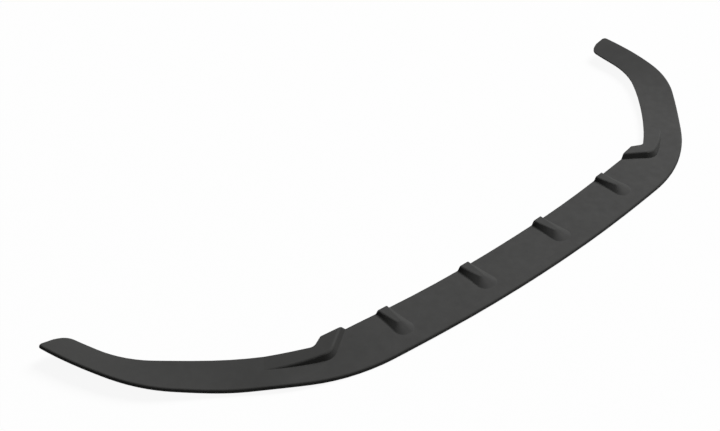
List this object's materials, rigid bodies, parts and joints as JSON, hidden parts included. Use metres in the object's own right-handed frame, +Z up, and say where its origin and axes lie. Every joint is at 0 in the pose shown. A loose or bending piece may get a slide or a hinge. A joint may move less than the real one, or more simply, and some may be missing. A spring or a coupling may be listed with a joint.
{
  "type": "front splitter lip",
  "caption": "Curved front splitter lip for a car's bumper: a thin formed plastic sheet with a turned-down outer edge, raised fins, raised corner pads and swept-back wings.",
  "frame": {"origin": "middle of the lip's footprint, at the level of its lowest edge", "axes": "+X along the lip's width, -Y to the front of the car, +Z up"},
  "size_m": [1.6974, 0.4938, 0.033],
  "materials": {
    "abs_sheet": "matte, fine grain"
  },
  "bodies": {
    "root": {"splitter_lip": "abs_sheet"}
  },
  "joints": []
}
